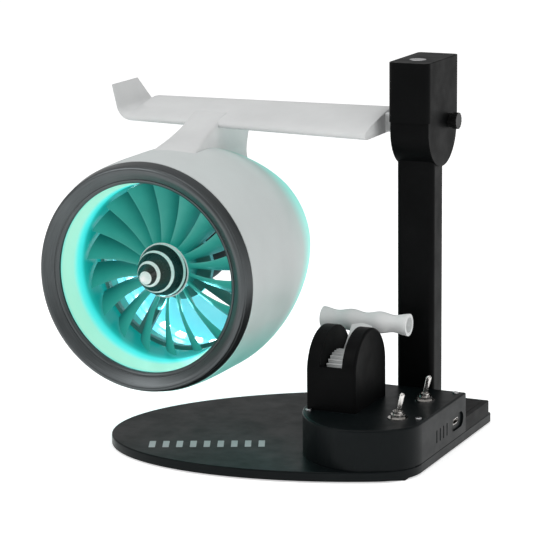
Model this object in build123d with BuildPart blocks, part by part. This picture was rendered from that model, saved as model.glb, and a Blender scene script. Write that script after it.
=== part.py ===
"""Desk lamp and headphone stand in the shape of a jet engine hung under a wing.

Millimetres, +Z up.  +X is to the right when the intake is looked into from the front, +Y is to the back.
The origin is the centre of the base plate's oval outline, on the surface that the stand rests on.
"""
from build123d import *
import math
import os

os.makedirs("parts", exist_ok=True)

# ---------------------------------------------------------------- driving dimensions
# base
mat_t = 1.0                  # anti-slip mat
mat_inset = 4.0
plate_t = 5.5
oval_a, oval_b = 149.8, 89.7  # half axes of the plate's oval
oval_turn = 24.1             # degrees, long axis turned from +X
right_x = 62.1               # straight right side of the base
back_y = 69.0                # straight back side of the base
front_corner_r = 30.0
plate_top = mat_t + plate_t

# control box
box_back_y = 22.1
box_left_x = -16.5
box_top = 31.0
box_wall = 2.4
box_roof = 2.6
box_inset = 1.6              # front wall behind the plate's edge
box_nose_r = 50.0            # big round of the front left corner
box_groove = 0.8             # shadow groove where the box meets the plate
cover_screws = ((-9.4, -51.2), (57.3, -44.0), (57.3, 17.4), (-11.8, 17.4))

# low rear box that holds the column's foot
rear_y = 64.5
rear_top = 15.0
rear_lid_t = 2.0
rear_seam = 3.4              # lid edge inside the box's outline

# column
col_x0, col_x1 = 16.8, 40.6
col_y0, col_y1 = box_back_y, 39.5
col_wall = 2.2
col_corner = 3.0
col_top = 183.0
col_cx = (col_x0 + col_x1) / 2
col_cy = (col_y0 + col_y1) / 2

# head block
head_x0, head_x1 = 15.7, 41.7
head_y0, head_y1 = 10.0, 61.0
head_top = 231.3
head_lid_t = 3.0
head_lip_z = 195.4           # underside of the block's front lip
head_step = 2.0              # the rounded skirt stands this far inside the block
skirt_r = 23.5
skirt_y, skirt_z = 35.5, 190.0
head_wall = 2.4
head_cx = (head_x0 + head_x1) / 2

# wing
root_x = 6.4                 # root face, clear of the head
tip_x = -155.9
wing_floor = 185.2
wing_le, wing_te = -2.0, 74.0
wing_crest_y, wing_crest_z = 40.0, 199.6
tip_scale = 0.8
tip_anchor_y, tip_anchor_z = 44.0, 192.6
tenon_y0, tenon_y1 = 30.0, 56.0
tenon_z0, tenon_z1 = 186.2, 197.6
tenon_end = 35.0
clamp_y, clamp_z = 46.8, 192.6

# nacelle: t is the distance behind the lip, r the distance from the axis
nac_x, nac_y, nac_z = -104.0, -82.3, 108.0
lip_r, lip_inner_r = 68.3, 57.2
lip_len, lip_throat = 9.3, 5.5   # the lip slopes in to its throat
shell_r, shell_end_r = 70.8, 50.5
shell_straight, shell_end = 60.0, 134.5
shell_wall = 2.2
duct_r, duct_end = 54.2, 70.3
duct_wall = 1.6

# fan
blade_count = 18
fan_tip_r = 52.8
hub_r = 15.0
spin_base_r = 16.2
spin_tip_t, spin_base_t = 3.3, 31.3
hub_t0, hub_t1 = 31.3, 46.8
shaft_r = 1.5
run_gap = 0.05               # radial running clearance of the shafts

# motor
mount_t0, mount_t1 = 51.3, 54.8
mount_r = 22.0
motor_r, motor_len = 13.8, 28.0

# lighting
led_count = 30
led_t, led_r = 86.3, 57.2

# throttle
quad_x0, quad_x1 = -12.0, 19.5
quad_y0, quad_y1 = -49.0, -1.0
quad_arch_z = 53.3
slot_x0, slot_x1 = -3.6, 10.8
slot_floor = 57.4
pivot_y, pivot_z = -25.0, 41.7
lever_tilt = 44.0            # lever leans back this far at rest
lever_reach = 44.4           # pivot to the middle of the grip
grip_len, grip_mid_r, grip_wave = 56.0, 6.05, 0.7
wheel_teeth, pinion_teeth, module = 40, 13, 1.0
pinion_dir = 150.0           # degrees from straight up, towards the front
quad_cx = (slot_x0 + slot_x1) / 2

# switches and socket
toggles = {"front": (45.6, -47.0), "rear": (45.6, -4.0)}
toggle_tilt = 12.5
toggle_pivot_z = box_top + 2.2
port_y, port_z = 8.0, 16.4

screw_r = 1.4
post_r = 2.5                 # posts under the cover screws


# ---------------------------------------------------------------- shared shapes
def plate_outline(inset):
    """Oval cut straight at the right and at the back, drawn inside the running sketch."""
    Ellipse(oval_a - inset, oval_b - inset, rotation=oval_turn)
    reach = 2 * oval_a
    with Locations((right_x - inset - reach / 2, back_y - inset - reach / 2)):
        Rectangle(reach, reach, mode=Mode.INTERSECT)


def corner(sketch, right_most, front_most=True):
    """The vertex of a sketch at its right side, front or back."""
    at_right = sketch.vertices().filter_by(lambda v: abs(v.X - right_most) < 0.01)
    return at_right.sort_by(Axis.Y)[0 if front_most else -1]


def nacelle_plane():
    """Half section of the nacelle: local x is t behind the lip, local y is the radius."""
    return Plane(origin=(nac_x, nac_y, nac_z), x_dir=(0, 1, 0), z_dir=(1, 0, 0))


nacelle_axis = Axis((nac_x, nac_y, nac_z), (0, 1, 0))


def shell_radius(t):
    """Outer radius of the cowl at t: straight behind the intake, then drawn in to the back."""
    drawn_in = max(0.0, (t - shell_straight) / (shell_end - shell_straight))
    return shell_r - (shell_r - shell_end_r) * drawn_in ** 1.6


def gear_outline(teeth, gap, turn):
    """Involute spur gear outline with its module, thinned by gap for backlash, turned by turn degrees."""
    pitch_r = module * teeth / 2
    base_r = pitch_r * math.cos(math.radians(20))
    tip_r, root_r = pitch_r + 0.9 * module, pitch_r - 1.2 * module
    inv_pitch = math.tan(math.radians(20)) - math.radians(20)
    half = math.pi / (2 * teeth) - gap / (2 * pitch_r)
    points = []
    for tooth in range(teeth):
        centre = math.radians(turn) + 2 * math.pi * tooth / teeth
        flank = []
        for step in range(4):
            r = max(base_r, root_r) + (tip_r - max(base_r, root_r)) * step / 3
            press = math.acos(min(1.0, base_r / r))
            flank.append((r, half + inv_pitch - (math.tan(press) - press)))
        foot = (root_r, flank[0][1] + 0.02)
        rising = [foot] + flank
        points += [(r * math.cos(centre - w), r * math.sin(centre - w)) for r, w in rising]
        points += [(r * math.cos(centre + w), r * math.sin(centre + w)) for r, w in reversed(rising)]
    return points


def aerofoil(chord, thick):
    """Flat bottomed aerofoil with its nose at the local origin."""
    back = ((0.0, 0.16), (0.024, 0.326), (0.146, 0.54), (0.312, 0.771), (0.458, 0.93), (0.566, 1.0),
            (0.78, 0.82), (1.0, 0.14))
    with BuildSketch(Plane.XY) as section:
        with BuildLine():
            top = Spline(*[(u * chord, v * thick) for u, v in back])
            tail = Line(top @ 1, (chord, 0))
            belly = Line(tail @ 1, (0.03 * chord, 0))
            Line(belly @ 1, top @ 0)
        make_face()
    return section.sketch_local


# ---------------------------------------------------------------- base
with BuildPart() as anti_slip_mat:
    with BuildSketch():
        plate_outline(mat_inset)
    extrude(amount=mat_t)

foot_screws = ((col_cx - 6.5, col_cy), (col_cx + 6.5, col_cy))

with BuildPart() as base_plate:
    with BuildSketch(Plane.XY.offset(mat_t)) as outline:
        plate_outline(0)
        fillet(corner(outline, right_x), front_corner_r)
        fillet(corner(outline, right_x, False), 3.0)
    extrude(amount=plate_t)
    fillet(base_plate.edges().group_by(Axis.Z)[-1], 0.8)
    # posts that the cover screws go into
    with BuildSketch(Plane.XY.offset(plate_top)):
        with Locations(*cover_screws):
            Circle(post_r)
    extrude(amount=box_top - box_roof - plate_top)
    with BuildSketch(Plane.XY.offset(box_top - box_roof)):
        with Locations(*cover_screws):
            Circle(screw_r)
    extrude(amount=-14, mode=Mode.SUBTRACT)
    # column screws come up from below, with their heads sunk in the plate
    with BuildSketch(Plane.XY.offset(mat_t)):
        with Locations(*foot_screws):
            Circle(4.2)
    extrude(amount=3.2, mode=Mode.SUBTRACT)
    with BuildSketch(Plane.XY.offset(mat_t)):
        with Locations(*foot_screws):
            Circle(2.2)
    extrude(amount=plate_t, mode=Mode.SUBTRACT)

with BuildPart() as foot_bolts:
    with BuildSketch(Plane.XY.offset(mat_t + 0.2)):
        with Locations(*foot_screws):
            Circle(3.7)
    extrude(amount=3.0)
    with BuildSketch(Plane.XY.offset(mat_t + 3.2)):
        with Locations(*foot_screws):
            Circle(1.95)
    extrude(amount=11.0)
    with BuildSketch(Plane.XY.offset(mat_t + 0.2)):
        with Locations(*foot_screws):
            RegularPolygon(1.6, 6)
    extrude(amount=1.8, mode=Mode.SUBTRACT)


# ---------------------------------------------------------------- control box
def box_outline(inset):
    """Outline of the control box, drawn inside the running sketch."""
    x0, x1, y1 = box_left_x + inset, right_x - inset, box_back_y - inset
    nose_x, nose_y = box_left_x + box_nose_r, box_back_y - 56.0
    front = -oval_b
    with Locations(((x0 + x1) / 2, (nose_y + y1) / 2)):
        Rectangle(x1 - x0, y1 - nose_y)
    with Locations((nose_x, nose_y)):
        Circle(box_nose_r - inset)
    with Locations(((nose_x + x1) / 2, (nose_y + front) / 2)):
        Rectangle(x1 - nose_x, nose_y - front)
    with Locations(((x0 + x1) / 2, (front + y1) / 2)):
        Rectangle(x1 - x0, y1 - front, mode=Mode.INTERSECT)
    Ellipse(oval_a - box_inset - inset, oval_b - box_inset - inset, rotation=oval_turn,
            mode=Mode.INTERSECT)


def round_box_front(sketch, inset):
    fillet(sketch.vertices().sort_by(Axis.Y)[0], 25.0)
    fillet(corner(sketch, right_x - inset), front_corner_r - box_inset - inset)


quad_screws = ((quad_x0 + 3.6, quad_y0 + 8.0), (quad_x0 + 3.6, quad_y1 - 8.0),
               (quad_x1 - 3.6, quad_y0 + 8.0), (quad_x1 - 3.6, quad_y1 - 8.0))
wheel_opening = ((slot_x0 + slot_x1) / 2, pivot_y)
port_recess = (20.0, 9.6)
socket_size = (9.2, 3.5)
wire_window = (8.0, 5.0)
wire_z = 22.0

with BuildPart() as control_box:
    with BuildSketch(Plane.XY.offset(plate_top)) as outer:
        box_outline(0)
        round_box_front(outer, 0)
    extrude(amount=box_top - plate_top)
    fillet(control_box.edges().group_by(Axis.Z)[-1], 1.2)
    with BuildSketch(Plane.XY.offset(plate_top)) as inner:
        box_outline(box_wall)
        round_box_front(inner, box_wall)
    extrude(amount=box_top - box_roof - plate_top, mode=Mode.SUBTRACT)
    # holes in the roof: switch bushings, cover screws and the throttle wheel
    with BuildSketch(Plane.XY.offset(box_top)):
        with Locations(*toggles.values()):
            Circle(3.1)
        with Locations(*cover_screws):
            Circle(screw_r + 0.1)
        with Locations(wheel_opening):
            Rectangle(slot_x1 - slot_x0, 42.0)
    extrude(amount=-box_roof, mode=Mode.SUBTRACT)
    with BuildSketch(Plane.XY.offset(box_top)):
        with Locations(*quad_screws):
            Circle(1.5)
    extrude(amount=-box_roof, mode=Mode.SUBTRACT)
    # the posts under the cover screws reach into the walls
    with BuildSketch(Plane.XY.offset(plate_top)):
        with Locations(*cover_screws):
            Circle(post_r + 0.1)
    extrude(amount=box_top - box_roof - plate_top, mode=Mode.SUBTRACT)
    # recess and opening of the power socket in the right wall
    with BuildSketch(Plane.YZ.offset(right_x)):
        with Locations((port_y, port_z)):
            SlotOverall(*port_recess)
    extrude(amount=-1.2, mode=Mode.SUBTRACT)
    with BuildSketch(Plane.YZ.offset(right_x)):
        with Locations((port_y, port_z)):
            SlotOverall(*socket_size)
    extrude(amount=-box_wall, mode=Mode.SUBTRACT)
    # sound and air slots beside the socket
    with BuildSketch(Plane.YZ.offset(right_x)):
        with GridLocations(5.6, 1, 4, 1):
            with Locations((-18.0, 16.0)):
                SlotOverall(8.0, 1.4, rotation=90)
    extrude(amount=-box_wall, mode=Mode.SUBTRACT)
    # way for the wires from the box into the column
    with BuildSketch(Plane.XZ.offset(-box_back_y)):
        with Locations((col_cx, wire_z)):
            Rectangle(*wire_window)
    extrude(amount=box_wall, mode=Mode.SUBTRACT)

with BuildPart() as cover_screw_set:
    with BuildSketch(Plane.XY.offset(box_top)):
        with Locations(*cover_screws):
            Circle(1.9)
    extrude(amount=0.9)
    fillet(cover_screw_set.edges().group_by(Axis.Z)[-1], 0.5)
    with BuildSketch(Plane.XY.offset(box_top)):
        with Locations(*cover_screws):
            Circle(screw_r - 0.02)
    extrude(amount=-12.0)

# ---------------------------------------------------------------- rear box and its lid
rear_mid_x, rear_mid_y = (box_left_x + right_x) / 2, (box_back_y + rear_y) / 2
rear_size = (right_x - box_left_x, rear_y - box_back_y)
lid_size = (rear_size[0] - 2 * rear_seam, rear_size[1] - rear_seam)

with BuildPart() as rear_box:
    with BuildSketch(Plane.XY.offset(plate_top)) as rear_outline:
        with Locations((rear_mid_x, rear_mid_y)):
            Rectangle(*rear_size)
        fillet(rear_outline.vertices().group_by(Axis.Y)[-1], 2.0)
    extrude(amount=rear_top - plate_top)
    with BuildSketch(Plane.XY.offset(plate_top)):
        with Locations((rear_mid_x, rear_mid_y)):
            Rectangle(rear_size[0] - 2 * (rear_seam + 1.2), rear_size[1] - 2 * (rear_seam + 1.2))
    extrude(amount=rear_top - plate_top, mode=Mode.SUBTRACT)
    with BuildSketch(Plane.XY.offset(rear_top)):
        with Locations((rear_mid_x, rear_mid_y - rear_seam / 2)):
            Rectangle(*lid_size)
    extrude(amount=-rear_lid_t, mode=Mode.SUBTRACT)
    # clearance for the column at the front wall
    with BuildSketch(Plane.XY.offset(plate_top)):
        with Locations((col_cx, col_cy)):
            Rectangle(col_x1 - col_x0 + 0.4, col_y1 - col_y0 + 0.4)
    extrude(amount=rear_top, mode=Mode.SUBTRACT)

with BuildPart() as rear_lid:
    with BuildSketch(Plane.XY.offset(rear_top - rear_lid_t)):
        with Locations((rear_mid_x, rear_mid_y - rear_seam / 2)):
            Rectangle(lid_size[0] - 0.5, lid_size[1] - 0.5)
        with Locations((col_cx, col_cy)):
            Rectangle(col_x1 - col_x0 + 0.4, col_y1 - col_y0 + 0.4, mode=Mode.SUBTRACT)
    extrude(amount=rear_lid_t)


# ---------------------------------------------------------------- column
def column_outline(inset):
    """Section of the column, drawn inside the running sketch."""
    with Locations((col_cx, col_cy)):
        RectangleRounded(col_x1 - col_x0 - 2 * inset, col_y1 - col_y0 - 2 * inset,
                         max(0.6, col_corner - inset))


tie_x, tie_y = col_cx, 26.8
wire_x, wire_y = 35.6, 27.0

with BuildPart() as column:
    with BuildSketch(Plane.XY.offset(plate_top)):
        column_outline(0)
    extrude(amount=col_top - plate_top)
    with BuildSketch(Plane.XY.offset(plate_top + 10.0)):
        column_outline(col_wall)
    extrude(amount=col_top - plate_top - 20.0, mode=Mode.SUBTRACT)
    with BuildSketch(Plane.XY.offset(plate_top)):
        with Locations(*foot_screws):
            Circle(2.0)
    extrude(amount=9.0, mode=Mode.SUBTRACT)
    with BuildSketch(Plane.XY.offset(col_top)):
        with Locations((tie_x, tie_y)):
            Circle(2.0)
        with Locations((wire_x, wire_y)):
            Circle(2.0)
    extrude(amount=-10.0, mode=Mode.SUBTRACT)
    with BuildSketch(Plane.XZ.offset(-col_y0)):
        with Locations((col_cx, wire_z)):
            Rectangle(*wire_window)
    extrude(amount=-col_wall, mode=Mode.SUBTRACT)

# ---------------------------------------------------------------- head block
lid_z = head_top - head_lid_t
cavity_z = 200.6
cap_r, cap_t = 5.0, 0.9


def skirt_side(inset):
    """Side view of the head's rounded skirt, drawn inside the running sketch."""
    with Locations((skirt_y, skirt_z)):
        Circle(skirt_r - inset)
    with Locations((skirt_y, (skirt_z + head_lip_z) / 2)):
        Rectangle(2 * (skirt_r - inset), head_lip_z - skirt_z)


def block_plan(inset, r_front, r_back):
    """Plan of the head block with its own rounds in front and at the back."""
    with BuildSketch(Plane.XY) as plan:
        with Locations((head_cx, (head_y0 + head_y1) / 2)):
            Rectangle(head_x1 - head_x0 - 2 * inset, head_y1 - head_y0 - 2 * inset)
        fillet(plan.vertices().group_by(Axis.Y)[0], r_front)
        fillet(plan.vertices().group_by(Axis.Y)[-1], r_back)
    return plan.sketch_local


with BuildPart() as head_shell:
    with BuildSketch(Plane.XY.offset(head_lip_z)):
        add(block_plan(0, 4.5, 2.5))
    extrude(amount=lid_z - head_lip_z)
    with BuildSketch(Plane.YZ.offset(head_x0 + 1.2)):
        skirt_side(0)
    extrude(amount=head_x1 - head_x0 - 1.5)
    # hollow above the wing's tenon
    with BuildSketch(Plane.XY.offset(cavity_z)):
        add(block_plan(head_wall, 2.1, 1.0))
    extrude(amount=lid_z - cavity_z, mode=Mode.SUBTRACT)
    # socket that the column goes up into
    with BuildSketch(Plane.XY.offset(col_top + 0.1)):
        with Locations((col_cx, col_cy)):
            RectangleRounded(col_x1 - col_x0 + 0.2, col_y1 - col_y0 + 0.2, col_corner)
    extrude(amount=-40.0, mode=Mode.SUBTRACT)
    with BuildSketch(Plane.XY.offset(col_top)):
        with Locations((tie_x, tie_y), (wire_x, wire_y)):
            Circle(2.2)
    extrude(amount=cavity_z - col_top, mode=Mode.SUBTRACT)
    # slot for the wing's tenon, and the clamp screw's hole beyond it
    with BuildSketch(Plane.YZ.offset(head_x0)):
        with Locations(((tenon_y0 + tenon_y1) / 2, (tenon_z0 + tenon_z1) / 2)):
            Rectangle(tenon_y1 - tenon_y0 + 0.3, tenon_z1 - tenon_z0 + 0.3)
    extrude(amount=tenon_end + 0.3 - head_x0, mode=Mode.SUBTRACT)
    with BuildSketch(Plane.YZ.offset(tenon_end)):
        with Locations((clamp_y, clamp_z)):
            Circle(2.5)
    extrude(amount=head_x1 - tenon_end, mode=Mode.SUBTRACT)
    # wires leave the tenon into the hollow
    with BuildSketch(Plane.XY.offset(tenon_z1)):
        with Locations((tenon_end - 5.0, tenon_y0 + 6.0)):
            Circle(2.6)
    extrude(amount=cavity_z - tenon_z1, mode=Mode.SUBTRACT)

with BuildPart() as head_lid:
    with BuildSketch(Plane.XY.offset(lid_z)):
        add(block_plan(0, 4.5, 2.5))
    extrude(amount=head_lid_t)
    fillet(head_lid.edges().group_by(Axis.Z)[-1], 0.5)
    with BuildSketch(Plane.XY.offset(lid_z)):
        add(block_plan(head_wall + 0.15, 2.0, 0.9))
    extrude(amount=-4.0)
    with BuildSketch(Plane.XY.offset(head_top)):
        with Locations((tie_x, tie_y)):
            Circle(cap_r + 0.1)
    extrude(amount=-cap_t, mode=Mode.SUBTRACT)
    with BuildSketch(Plane.XY.offset(head_top)):
        with Locations((tie_x, tie_y)):
            Circle(3.8)
    extrude(amount=-4.6, mode=Mode.SUBTRACT)
    with BuildSketch(Plane.XY.offset(head_top)):
        with Locations((tie_x, tie_y)):
            Circle(2.2)
    extrude(amount=-10.0, mode=Mode.SUBTRACT)

with BuildPart() as tie_bolt:
    with BuildSketch(Plane.XY.offset(head_top - cap_t - 0.1)):
        with Locations((tie_x, tie_y)):
            Circle(3.6)
    extrude(amount=-3.6)
    with BuildSketch(Plane.XY.offset(head_top - cap_t - 3.7)):
        with Locations((tie_x, tie_y)):
            Circle(1.95)
    extrude(amount=-50.0)
    with BuildSketch(Plane.XY.offset(head_top - cap_t - 0.1)):
        with Locations((tie_x, tie_y)):
            RegularPolygon(1.6, 6)
    extrude(amount=-2.0, mode=Mode.SUBTRACT)

with BuildPart() as cap_disc:
    with BuildSketch(Plane.XY.offset(head_top - cap_t)):
        with Locations((tie_x, tie_y)):
            Circle(cap_r)
    extrude(amount=cap_t + 0.3)
    fillet(cap_disc.edges().group_by(Axis.Z)[-1], 0.25)

# clamp screw: plastic knob on a steel stud that goes into the tenon
knob_x = head_x1 + 0.3
knob_cap_r, knob_neck_r = 5.0, 4.4

with BuildPart() as clamp_knob:
    with BuildSketch(Plane.YZ.offset(knob_x)):
        with Locations((clamp_y, clamp_z)):
            Circle(knob_neck_r)
    extrude(amount=2.4)
    with BuildSketch(Plane.YZ.offset(knob_x + 2.4)):
        with Locations((clamp_y, clamp_z)):
            Circle(knob_cap_r)
            with PolarLocations(knob_cap_r + 0.35, 16):
                Circle(0.6, mode=Mode.SUBTRACT)
    extrude(amount=3.0)
    with BuildSketch(Plane.YZ.offset(knob_x)):
        with Locations((clamp_y, clamp_z)):
            Circle(2.0)
    extrude(amount=4.0, mode=Mode.SUBTRACT)

with BuildPart() as clamp_stud:
    with BuildSketch(Plane.YZ.offset(tenon_end - 7.0)):
        with Locations((clamp_y, clamp_z)):
            Circle(2.0)
    extrude(amount=knob_x + 4.0 - tenon_end + 7.0)


# ---------------------------------------------------------------- wing
def span_plane(x, nose_y, floor_z, lean=0.0):
    """Plane of a wing section: local x along the chord, local y its thickness, leaning inwards."""
    lean = math.radians(lean)
    return Plane(origin=(x, nose_y, floor_z), x_dir=(0, 1, 0),
                 z_dir=(math.cos(lean), 0, -math.sin(lean)))


root_chord = wing_te - wing_le
root_thick = wing_crest_z - wing_floor
tip_nose = tip_anchor_y + (wing_le - tip_anchor_y) * tip_scale
tip_floor = tip_anchor_z + (wing_floor - tip_anchor_z) * tip_scale
tip_chord = root_chord * tip_scale
tip_thick = root_thick * tip_scale
skin = 2.2
bend_r = 10.5
winglet_top = 208.6
# degrees turned, nose, chord, thickness
winglet_steps = ((0, tip_nose, tip_chord, tip_thick), (15, tip_nose + 0.1, 59.5, 10.4),
                 (30, tip_nose + 0.2, 57.5, 9.0), (46, tip_nose + 0.4, 54.5, 7.4),
                 (62, tip_nose + 0.7, 51.0, 6.0), (76, tip_nose + 1.0, 47.0, 4.6))
lean = math.radians(winglet_steps[-1][0])
rise = winglet_top - tip_floor - bend_r * (1 - math.cos(lean))
wire_duct_y, wire_duct_z = 41.0, 191.6

with BuildPart() as wing:
    with BuildSketch(span_plane(root_x, wing_le, wing_floor)):
        add(aerofoil(root_chord, root_thick))
    with BuildSketch(span_plane(tip_x, tip_nose, tip_floor)):
        add(aerofoil(tip_chord, tip_thick))
    loft(ruled=True)
    # winglet: the tip section turns up round a bend and narrows to its top edge
    for step in range(5):
        for turn, nose, chord, thick in winglet_steps[step:step + 2]:
            with BuildSketch(span_plane(tip_x - bend_r * math.sin(math.radians(turn)), nose,
                                        tip_floor + bend_r * (1 - math.cos(math.radians(turn))), turn)):
                add(aerofoil(chord, thick))
        loft(ruled=True)
    with BuildSketch(span_plane(tip_x - bend_r * math.sin(lean), nose,
                                tip_floor + bend_r * (1 - math.cos(lean)), turn)):
        add(aerofoil(chord, thick))
    with BuildSketch(span_plane(tip_x - bend_r * math.sin(lean) - rise / math.tan(lean), tip_nose + 1.6,
                                winglet_top, turn)):
        add(aerofoil(35.0, 3.0))
    loft(ruled=True)
    # tenon that goes into the head
    with BuildSketch(Plane.YZ.offset(root_x - 4.0)):
        with Locations(((tenon_y0 + tenon_y1) / 2, (tenon_z0 + tenon_z1) / 2)):
            Rectangle(tenon_y1 - tenon_y0, tenon_z1 - tenon_z0)
    extrude(amount=tenon_end - root_x + 4.0)
    # hollow inside
    with BuildSketch(span_plane(root_x - skin, wing_le + skin, wing_floor + skin)):
        add(aerofoil(root_chord - 4 * skin, root_thick - 2 * skin))
    with BuildSketch(span_plane(tip_x + skin, tip_nose + skin, tip_floor + skin)):
        add(aerofoil(tip_chord - 4 * skin, tip_thick - 2 * skin))
    loft(ruled=True, mode=Mode.SUBTRACT)
    # wire duct through the tenon, up into the head's hollow
    with BuildSketch(Plane.YZ.offset(tenon_end - 8.0)):
        with Locations((tenon_y0 + 6.0, wire_duct_z)):
            Circle(2.4)
    extrude(amount=root_x - skin - 1.0 - tenon_end + 8.0, mode=Mode.SUBTRACT)
    with BuildSketch(Plane.XY.offset(tenon_z1)):
        with Locations((tenon_end - 5.0, tenon_y0 + 6.0)):
            Circle(2.4)
    extrude(amount=wire_duct_z - tenon_z1, mode=Mode.SUBTRACT)
    # bore for the clamp stud
    with BuildSketch(Plane.YZ.offset(tenon_end)):
        with Locations((clamp_y, clamp_z)):
            Circle(2.05)
    extrude(amount=-8.0, mode=Mode.SUBTRACT)
    # wires go down into the pylon
    with BuildSketch(Plane.XY.offset(wing_floor - 1.0)):
        with Locations((nac_x, wire_duct_y)):
            Circle(2.6)
    extrude(amount=6.0, mode=Mode.SUBTRACT)


# ---------------------------------------------------------------- nacelle
def cowl_line(t0, t1, inset=0.0):
    """Points along the cowl's outside, or along a surface inset from it."""
    steps = 9
    return [(t0 + (t1 - t0) * i / steps, shell_radius(t0 + (t1 - t0) * i / steps) - inset)
            for i in range(steps + 1)]


with BuildPart() as cowl_body:
    with BuildSketch(nacelle_plane()):
        with BuildLine():
            rim = Spline(*cowl_line(0, shell_end + 6.0, -0.1))
            Polyline(rim @ 1, (shell_end + 6.0, 0), (0, 0), rim @ 0)
        make_face()
    revolve(axis=nacelle_axis)

with BuildPart() as pylon:
    # broad fairing that runs down from the wing's nose to the cowl
    with BuildSketch(Plane.XY.offset(168.0)):
        with Locations((nac_x, -54.4), (nac_x, 8.0)):
            Circle(9.5)
        make_hull()
    with BuildSketch(Plane.XY.offset(194.4)):
        with Locations((nac_x, 20.0), (nac_x, 24.0)):
            Circle(11.0)
        make_hull()
    loft(ruled=True)
    # narrower slab behind it
    with BuildSketch(Plane.XY.offset(150.0)):
        with Locations((nac_x, 6.0), (nac_x, 42.0)):
            Circle(7.5)
        make_hull()
    with BuildSketch(Plane.XY.offset(190.0)):
        with Locations((nac_x, 16.0), (nac_x, 58.0)):
            Circle(7.5)
        make_hull()
    loft(ruled=True)
    add(cowl_body.part, mode=Mode.SUBTRACT)
    # seat for the wing: the fairing laps round the wing's nose
    with BuildSketch(span_plane(root_x, wing_le, wing_floor)):
        add(aerofoil(root_chord, root_thick))
    with BuildSketch(span_plane(tip_x, tip_nose, tip_floor)):
        add(aerofoil(tip_chord, tip_thick))
    loft(ruled=True, mode=Mode.SUBTRACT)
    with BuildSketch(Plane.XY.offset(150.0)):
        with Locations((nac_x, wire_duct_y)):
            Circle(2.6)
    extrude(amount=46.0, mode=Mode.SUBTRACT)

with BuildPart() as cowl:
    with BuildSketch(nacelle_plane()):
        with BuildLine():
            outside = Spline(*cowl_line(lip_len, shell_end))
            inside = Spline(*cowl_line(lip_len, shell_end, shell_wall))
            Line(outside @ 0, inside @ 0)
            Line(outside @ 1, inside @ 1)
        make_face()
    revolve(axis=nacelle_axis)
    with BuildSketch(Plane.XY.offset(nac_z + 40.0)):
        with Locations((nac_x, wire_duct_y)):
            Circle(2.6)
    extrude(amount=40.0, mode=Mode.SUBTRACT)

with BuildPart() as lip_ring:
    rebate_r = lip_inner_r + duct_wall + 0.1
    with BuildSketch(nacelle_plane()):
        with BuildLine():
            Polyline((1.2, lip_r), (lip_len, shell_r - 0.2), (lip_len, rebate_r),
                     (lip_throat + 2.0, rebate_r), (lip_throat + 2.0, lip_inner_r), (lip_throat, lip_inner_r), (0.3, lip_r - 2.3))
            ThreePointArc((0.3, lip_r - 2.3), (0.0, lip_r - 1.2), (1.2, lip_r))
        make_face()
    revolve(axis=nacelle_axis)

duct_start = lip_throat + 2.1

with BuildPart() as intake_duct:
    with BuildSketch(nacelle_plane()):
        with BuildLine():
            bore = Spline((duct_start, lip_inner_r), (duct_end * 0.42, duct_r), (duct_end * 0.7, duct_r),
                          (duct_end, duct_r + 2.0))
            back = Spline((duct_start, lip_inner_r + duct_wall), (duct_end * 0.42, duct_r + duct_wall),
                          (duct_end * 0.7, duct_r + duct_wall), (duct_end, duct_r + 2.0 + duct_wall))
            Line(bore @ 0, back @ 0)
            Line(bore @ 1, back @ 1)
        make_face()
    revolve(axis=nacelle_axis)

# ring that joins the duct's back end to the cowl and carries the lights
light_out = shell_radius(led_t + 6.0) - shell_wall - 0.1

with BuildPart() as light_ring:
    with BuildSketch(nacelle_plane()):
        with BuildLine():
            Polyline((duct_end + 0.1, duct_r + 2.2), (duct_end + 0.1, light_out), (led_t + 6.0, light_out),
                     (led_t + 6.0, led_r + 0.6), (led_t - 6.0, led_r + 0.6), (duct_end + 0.1, duct_r + 2.2))
        make_face()
    revolve(axis=nacelle_axis)

with BuildPart() as light_strip:
    with BuildSketch(nacelle_plane()):
        with Locations((led_t, led_r + 0.35)):
            Rectangle(9.0, 0.4)
    revolve(axis=nacelle_axis)

with BuildPart() as light_chips:
    with BuildSketch(Plane(origin=(nac_x, nac_y + led_t - 2.5, nac_z), x_dir=(1, 0, 0), z_dir=(0, 1, 0))):
        with PolarLocations(led_r - 0.6, led_count):
            Rectangle(1.3, 4.6)
    extrude(amount=5.0)


def disc_plane(t, x_dir=(1, 0, 0)):
    """Plane across the engine's axis at t, looking to the back."""
    return Plane(origin=(nac_x, nac_y + t, nac_z), x_dir=x_dir, z_dir=(0, 1, 0))


mount_bolts = 3
bolt_circle_r = 8.0

with BuildPart() as motor_mount:
    with BuildSketch(disc_plane(mount_t0)):
        Circle(mount_r)
        with PolarLocations((mount_r + duct_r) / 2 - 1.0, 4, start_angle=30):
            Rectangle(duct_r - mount_r, 7.0)
    extrude(amount=mount_t1 - mount_t0)
    with BuildSketch(disc_plane(mount_t0)):
        Circle(duct_r - 0.1)
        Circle(duct_r - 2.6, mode=Mode.SUBTRACT)
    extrude(amount=mount_t1 - mount_t0)
    # arc slots, screw holes and the shaft's hole
    with BuildSketch(disc_plane(mount_t0)):
        with PolarLocations(0, 3, start_angle=45):
            SlotArc(CenterArc((0, 0), 16.5, -28, 56), 3.0)
        with PolarLocations(bolt_circle_r, mount_bolts, start_angle=90):
            Circle(1.3)
        Circle(3.6)
    extrude(amount=mount_t1 - mount_t0, mode=Mode.SUBTRACT)

with BuildPart() as mount_screws:
    with BuildSketch(disc_plane(mount_t0)):
        with PolarLocations(bolt_circle_r, mount_bolts, start_angle=90):
            Circle(2.1)
    extrude(amount=-1.2)
    with BuildSketch(disc_plane(mount_t0)):
        with PolarLocations(bolt_circle_r, mount_bolts, start_angle=90):
            Circle(1.2)
    extrude(amount=8.0)

with BuildPart() as shaft_bush:
    with BuildSketch(disc_plane(mount_t0)):
        Circle(3.6)
        Circle(shaft_r + run_gap, mode=Mode.SUBTRACT)
    extrude(amount=mount_t1 - mount_t0)

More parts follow.
